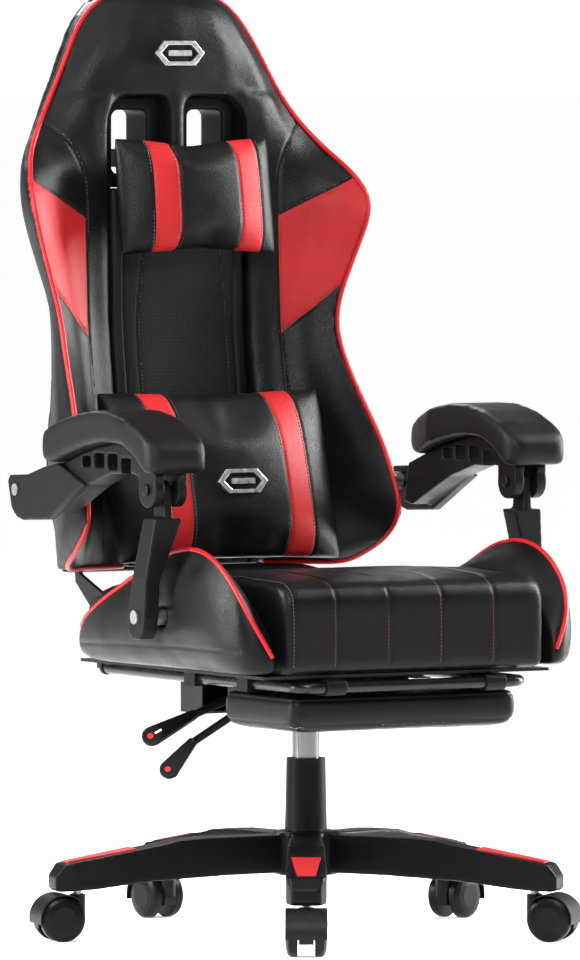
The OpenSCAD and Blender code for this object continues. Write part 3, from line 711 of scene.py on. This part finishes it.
def make_seat_cushion():
    lines = [seat_profile(x) for x in CHANNELS]
    edge = [seat_profile(s * 188) for s in (-1, 1)]
    cushion = upholster("seat_cushion", "seat_cushion_cover", voxel=5, shrink=3, cap=6, seams=lines, passes=5)
    groove(cushion, lines, depth=2.4, width=2.6)
    groove(cushion, edge, depth=0.9, width=2.2)
    paint(cushion, "seat_leather")
    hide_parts("seat_cushion")
    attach(cushion, "seat")
    stitches("seat_channel_stitches", cushion, lines, "red_thread", "seat", offset=-2.6)
    stitches("seat_edge_stitches", cushion, edge, "black_thread", "seat", offset=3)
    roll = metres([(x, 207, 471 - 22 * (x / 160) ** 6) for x in range(-150, 161, 8)])
    tube("seat_rear_roll", roll, 9.5, "seat_leather", "seat", sides=20)


def make_bolster(side_name):
    side = SIDES[side_name]
    node = f"seat_bolster_{side_name}"
    crest = metres(mirrored([(x, y, z) for y, x, z in smooth_line(BOLSTER_CREST, 4)], side))
    bolster = upholster(node, f"{node}_cover", voxel=6, shrink=3, cap=5, seams=[crest])
    lower = metres(mirrored([(x + 6, y, 392 - (y + 200) * 0.02) for y, x in
                             ((-262, 246), (-200, 258), (-100, 264), (0, 267), (90, 266), (160, 254))], side))
    groove(bolster, [crest], depth=1.5, width=3)
    groove(bolster, [snapped(bolster, lower)[0]], depth=1.2, width=2.2)
    paint(bolster, "seat_leather")
    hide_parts(node)
    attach(bolster, "seat")
    line, _ = snapped(bolster, crest, 6, lift=0.0012)
    tube(f"bolster_piping_{side_name}", eased(line, 10), 3.2, "red_piping", "seat")


make_seat_cushion()
for side_name in SIDES:
    make_bolster(side_name)

# ------------------------------------------------------------------ backrest


def crest_line(side=1):
    return metres(mirrored([(x, y, z) for z, x, y in smooth_line(BACK_CREST, 4)], side))


def wing_lines(cover, side):
    """The seams on one side of the cover's front, from flat outlines thrown back onto it."""
    strip = [(x, 0, z) for x, z in smooth_line(HEAD_SEAM, 4)]
    strip += [(STRIP_EDGE, 0, z) for z in range(940, 480, -20)]
    top = [(x, 0, z) for x, z in RED_TOP]
    bottom = [(x, 0, z) for x, z in RED_BOTTOM]
    found = []
    for flat in (strip, top, bottom):
        dense = even(metres(mirrored(flat, side)), 0.004)
        found.append(cast(cover, dense, (0, 1, 0)))
    return [f for f in found if len(f) > 3]


def slot_corner(side, x, z, towards_x, towards_z, radius):
    """Leather filling one corner of a strap slot: outline, front and back depth."""
    overlap = 8             # how far the filling reaches into the leather round the slot
    turns = [k * math.pi / 16 for k in range(9)]
    arc = [(x + towards_x * radius * (1 - math.sin(a)), z + towards_z * radius * (1 - math.cos(a)))
           for a in turns]
    outer_x, outer_z = x - towards_x * overlap, z - towards_z * overlap
    outline = [(outer_x, outer_z), (outer_x, arc[0][1])] + arc + [(arc[-1][0], outer_z)]
    return [(side * u, v) for u, v in outline], *SLOT_FILL_DEPTH


def make_back_cover():
    """The backrest's front cover: both wings, the head panel and the ridge between the slots."""
    parts = ("wing_left", "wing_right", "headrest_pad", "headrest_spine")
    crests = [crest_line(side) for side in SIDES.values()]
    fillers = [slot_corner(side, *corner) for side in SIDES.values() for corner in SLOT_CORNERS]
    cover = upholster(parts, "back_cover", voxel=6, shrink=3, cap=6, seams=crests, fillers=fillers)
    for side in SIDES.values():
        for (x0, z0), (x1, z1) in (RED_TOP, RED_BOTTOM):
            cut(cover, (side * x0, 0, z0), (side * x1, 0, z1), (0, 1, 0))
        cut(cover, (side * STRIP_EDGE, 0, 760), (side * STRIP_EDGE, 0, 965), (0, 1, 0))
    crest = np.concatenate(crests)
    tree = KDTree(len(crest))
    for i, p in enumerate(crest):
        tree.insert(p, i)
    tree.balance()

    def between(line, t):
        (x0, z0), (x1, z1) = line
        return z0 + (z1 - z0) * t / (x1 - x0)

    def is_red(c):
        side = 1 if c.x > 0 else -1
        beyond = abs(c.x) - STRIP_EDGE
        if beyond < 0 or not between(RED_BOTTOM, beyond) < c.z < between(RED_TOP, beyond):
            return False
        nearest = Vector(tree.find(c * MM)[0]) / MM
        return (c - nearest).dot(Vector((side * 0.85, 0.5, 0))) < 4

    paint(cover, "black_leather", "red_leather")
    colour_faces(cover, 1, is_red)
    lines = [line for side in SIDES.values() for line in wing_lines(cover, side)]
    groove(cover, lines, depth=1.8, width=2.2)
    groove(cover, crests, depth=1.2, width=3)
    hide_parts(*parts)
    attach(cover, "back")
    stitches("back_cover_stitches", cover, lines, "black_thread", "back", offset=3)
    return cover


back_cover = make_back_cover()


def make_centre_pad():
    pad = upholster("centre_pad", "centre_pad_cover", voxel=5, shrink=2, cap=3)
    inner = [(PAD_EDGE, 0, z) for z in (970, 800, 600, 480)]
    curve = [(52, 0, 930), (60, 0, 880), (66, 0, 820), (68, 0, 760), (66, 0, 690), (60, 0, 600), (56, 0, 500)]
    flats = [mirrored(line, s) for line in (inner, curve) for s in (1, -1)]
    lines = [cast(pad, even(metres(flat), 0.004), (0, 1, 0)) for flat in flats]
    for s in (1, -1):
        cut(pad, (s * PAD_EDGE, 0, 474), (s * PAD_EDGE, 0, 980), (0, 1, 0))
    paint(pad, "mesh_leather", "dark_leather")
    colour_faces(pad, 1, lambda c: abs(c.x) > PAD_EDGE)
    groove(pad, lines[:2], depth=3.2, width=2.6)
    groove(pad, lines[2:], depth=1.6, width=2.0)
    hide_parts("centre_pad")
    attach(pad, "back")
    stitches("centre_pad_stitches", pad, lines[2:], "black_thread", "back", offset=2.6)


make_centre_pad()


def make_rear_cover():
    cover = upholster("rear_cover", "rear_cover_shell", voxel=6, shrink=2, cap=4)
    paint(cover, "black_leather")
    seam = [(0, 0, z) for z in range(480, 970, 20)]
    sides = [[(s * 130, 0, z) for z in range(500, 1180, 20)] for s in (1, -1)]
    lines = [cast(cover, even(metres(flat), 0.004), (0, -1, 0)) for flat in (seam, *sides)]
    groove(cover, lines, depth=1.8, width=2.4)
    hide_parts("rear_cover")
    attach(cover, "back")
    stitches("rear_cover_stitches", cover, lines, "black_thread", "back", offset=3)


make_rear_cover()


def make_bezels():
    bezels = copy_nodes("strap_bezels", "slot_liners")
    rounded(bezels, 2.2, 5)
    all_smooth(bezels)
    paint(bezels, "black_plastic")
    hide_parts("strap_bezels")
    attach(bezels, "back")


make_bezels()


def make_back_piping():
    right = [(-x, y, z) for z, x, y in smooth_line(BACK_CREST, 4)]
    left = [(x, y, z) for z, x, y in reversed(smooth_line(BACK_CREST, 4))]
    over = [(-35, 400, 1244), (0, 400, 1244), (35, 400, 1244)]
    under = [(104, 300, 473), (160, 285, 472), (200, 272, 472)]
    rim = [(-x, y, z) for x, y, z in under] + right + over + left + list(reversed(under))
    places, outs = snapped(back_cover, metres(rim), 8)
    tube("back_piping", eased(places + outs * 1.4 * MM, 12), 3.4, "red_piping", "back")


make_back_piping()

# ------------------------------------------------------------------ pillows


def pillow_blank(name, half_x, half_z, half_y, edge, pitch=6.0):
    """A flat sewn bag: two grids joined round their edge, the fuller the higher the edge power."""
    nx, nz = int(2 * half_x / pitch), int(2 * half_z / pitch)
    vertices, faces, index = [], [], {}
    for face in (-1, 1):
        for i in range(nx + 1):
            for j in range(nz + 1):
                rim = i in (0, nx) or j in (0, nz)
                if rim and face == 1:
                    index[face, i, j] = index[-1, i, j]
                    continue
                u, v = 2 * i / nx - 1, 2 * j / nz - 1
                thick = half_y * ((1 - abs(u) ** edge) * (1 - abs(v) ** edge)) ** 0.5
                index[face, i, j] = len(vertices)
                vertices.append((half_x * u, face * thick, half_z * v))
    for face in (-1, 1):
        for i in range(nx):
            for j in range(nz):
                corners = ((i, j), (i + 1, j), (i + 1, j + 1), (i, j + 1))
                ring = [index[(face, *corner)] for corner in corners]
                faces.append(tuple(ring if face == -1 else reversed(ring)))
    mesh = bpy.data.meshes.new(name)
    mesh.from_pydata([tuple(c * MM for c in v) for v in vertices], [], faces)
    obj = bpy.data.objects.new(name, mesh)
    scene.collection.objects.link(obj)
    return obj


def press_on(obj, backs, gap=1.5):
    """Keeps a pillow in front of the surfaces that it rests on."""
    co = coordinates(obj)
    trees = [tree_of(b) for b in backs]
    for i, p in enumerate(co):
        for tree in trees:
            hit = tree.ray_cast(Vector((p[0], -1.0, p[2])), Vector((0, 1, 0)))[0]
            if hit is not None and p[1] > hit.y - gap * MM:
                co[i, 1] = hit.y - gap * MM
    move_to(obj, co)


def sewn_bag(name, size, centre, tilt, pull, edge):
    """A bag sewn flat and then filled, so its sides pull in between the corners.
    Pull is the share kept of how far the sides come in."""
    half_x, half_y, half_z = size
    bag = pillow_blank(name, half_x, half_z, half_y * 0.6, edge)
    flat = coordinates(bag)
    inflate(bag, 6, half_y * 0.9, free=True)
    moved = coordinates(bag) - flat
    moved = np.stack([relaxed(bag, moved[:, k], 6) for k in range(3)], 1)
    co = flat + moved * np.array([pull, 1, pull])
    co *= np.array(size) * MM / np.abs(co).max(0)
    co[:, 1] += tilt * co[:, 2]
    move_to(bag, co + np.array(centre))
    subdivide(bag)
    all_smooth(bag)
    return bag


def make_pillow(node, name, size, stripes, backs, tilt, pull, edge, lower=0):
    low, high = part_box(node)
    centre = (low + high) / 2 - Vector((0, 0, lower * MM))
    half_z = size[2]
    pillow = sewn_bag(name, size, centre, tilt, pull, edge)
    for inner, outer in stripes:
        for x in (inner, outer):
            cut(pillow, (x, 0, centre.z / MM - half_z - 20), (x, 0, centre.z / MM + half_z + 20), (0, 1, 0))
    press_on(pillow, backs)
    paint(pillow, "black_leather", "red_leather")
    colour_faces(pillow, 1, lambda c: any(a < c.x < b for a, b in stripes))
    levels = np.arange(-half_z + 3, half_z - 2, 4)
    seams = []
    for x in [x for stripe in stripes for x in stripe]:
        for way in (1, -1):
            flat = [(x * MM, 0, centre.z + z * MM) for z in levels]
            seams.append(cast(pillow, flat, (0, way, 0)))
    groove(pillow, seams, depth=1.3, width=2.0)
    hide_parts(node)
    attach(pillow, "back")
    front = seams[::2]
    stitches(f"{name}_stitches", pillow, front, "black_thread", "back", offset=3)
    stitches(f"{name}_stitches_beside", pillow, front, "black_thread", "back", offset=-3)
    return pillow


make_pillow("head_pillow", "head_pillow_cover", (119, 36, 79),
            [(-74, -38), (56, 92)], [back_cover], 0.14, 0.45, 4)
lumbar_pillow = make_pillow("lumbar_pillow", "lumbar_pillow_cover", (170, 60, 114),
                            [(-112, -72), (78, 118)], [back_cover], 0.28, 0.15, 7, lower=8)

# ------------------------------------------------------------------ badges


def make_badge(name, surface, x, z, width, body):
    """Plain silver badge: a long hexagon frame with a bar, raised above the leather."""
    w, h, t = width / 2, width / 4.6, width / 14

    def hexagon(scale_w, scale_h):
        return [(-scale_w, 0), (-scale_w * 0.62, scale_h), (scale_w * 0.62, scale_h),
                (scale_w, 0), (scale_w * 0.62, -scale_h), (-scale_w * 0.62, -scale_h)]

    outer, inner = hexagon(w, h), hexagon(w - t * 1.7, h - t)
    bar = [(-w * 0.45, -t * 0.55), (-w * 0.45, t * 0.55), (w * 0.45, t * 0.55), (w * 0.45, -t * 0.55)]
    flats, faces = [], []
    for depth in (0, -4.5):
        flats += [(u, depth, v) for u, v in outer + inner + bar]
    n = len(outer)
    low_inner, low_bar = n, 2 * n
    top = len(outer + inner + bar)
    top_inner, top_bar = top + low_inner, top + low_bar
    for k in range(n):
        m = (k + 1) % n
        faces += [(top + k, top + m, top_inner + m, top_inner + k), (k, top + k, top + m, m)[::-1],
                  (low_inner + k, low_inner + m, top_inner + m, top_inner + k)[::-1]]
    faces.append(tuple(top_bar + k for k in range(4)))
    for k in range(4):
        m = (k + 1) % 4
        faces.append((low_bar + k, top_bar + k, top_bar + m, low_bar + m))
    tree = tree_of(surface)
    hit, outward, _, _ = tree.ray_cast(Vector((x * MM, -1, z * MM)), Vector((0, 1, 0)))
    turn = Vector((0, -1, 0)).rotation_difference(outward).to_matrix()
    vertices = [hit + turn @ (Vector(v) * MM + Vector((0, 0.0015, 0))) for v in flats]
    badge = new_piece(name, vertices, faces, "silver_badge", body, smooth=False)
    bevel = badge.modifiers.new("bevel", "BEVEL")
    bevel.width = 0.8 * MM
    bevel.segments = 2
    bevel.limit_method = "ANGLE"
    bake(badge)


make_badge("head_badge", back_cover, 0, 1161, 76, "back")
make_badge("lumbar_badge", lumbar_pillow, 2, 592, 76, "back")

# ------------------------------------------------------------------ armrests, footrest, levers


def moulded(node, body, voxel, passes, material):
    """A plastic part with softly rounded edges."""
    part = copy_nodes(node, f"{node}_moulding")
    rounded(part, voxel, passes)
    all_smooth(part)
    paint(part, material)
    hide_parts(node)
    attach(part, body)


def make_armrest(side_name):
    pad = copy_nodes(f"arm_pad_{side_name}", f"arm_pad_{side_name}_skin")
    rounded(pad, 4, 26)
    subdivide(pad)
    all_smooth(pad)
    paint(pad, "arm_foam")
    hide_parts(f"arm_pad_{side_name}")
    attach(pad, f"arm_{side_name}")
    moulded(f"arm_bracket_{side_name}", f"arm_{side_name}", 1.7, 4, "black_plastic")
    moulded(f"arm_post_{side_name}", f"post_{side_name}", 1.7, 4, "black_plastic")


for side_name in SIDES:
    make_armrest(side_name)


def make_footrest():
    pad = upholster("footrest_pad", "footrest_cover", voxel=5, shrink=3, cap=5)
    rim = [(x, y, 327) for x, y in ((-170, -245), (-170, -85), (-158, -74), (158, -74), (170, -85),
                                    (170, -245), (158, -260), (-158, -260), (-170, -245))]
    line, _ = snapped(pad, metres(rim))
    low = [(x, y, 292) for x, y, _ in rim]
    low_line, _ = snapped(pad, metres(low))
    groove(pad, [line, low_line], depth=1.3, width=2.2)
    paint(pad, "seat_leather")
    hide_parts("footrest_pad")
    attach(pad, "footrest_flap")
    stitches("footrest_stitches", pad, [low_line], "pale_thread", "footrest_flap", offset=3)


make_footrest()


moulded("star_base", "base", 2.4, 5, "base_nylon")
moulded("height_lever", "height_handle", 1.3, 3, "black_plastic")
moulded("recline_lever", "recline_handle", 1.3, 3, "black_plastic")
moulded("footrest_clamps", "footrest_flap", 1.5, 3, "black_plastic")


def make_lever_print(lever_name, body, place):
    """A plain red dot and a white bar printed on the face of a lever's paddle."""
    lie = Vector((0, 0, 1)).rotation_difference(Vector((-0.486, -0.695, 0.53))).to_matrix()
    ring = [(4.2 * math.cos(a) - 2, 4.2 * math.sin(a)) for a in np.arange(20) * math.pi / 10]
    bar = [(5, -1.4), (15, -1.4), (15, 1.4), (5, 1.4)]
    for label, flat, colour in (("dot", ring, "red_trim"), ("bar", bar, "white_print")):
        n = len(flat)
        vertices = [Vector(place) * MM + lie @ Vector((u * MM, v * MM, depth * MM))
                    for depth in (2.6, 3.9) for u, v in flat]
        faces = [tuple(range(n, 2 * n))] + [(k, (k + 1) % n, n + (k + 1) % n, n + k) for k in range(n)]
        new_piece(f"{lever_name}_{label}", vertices, faces, colour, body, smooth=False)


make_lever_print("height_lever", "height_handle", (-200, 12, 224))
make_lever_print("recline_lever", "recline_handle", (-208, 44, 266))
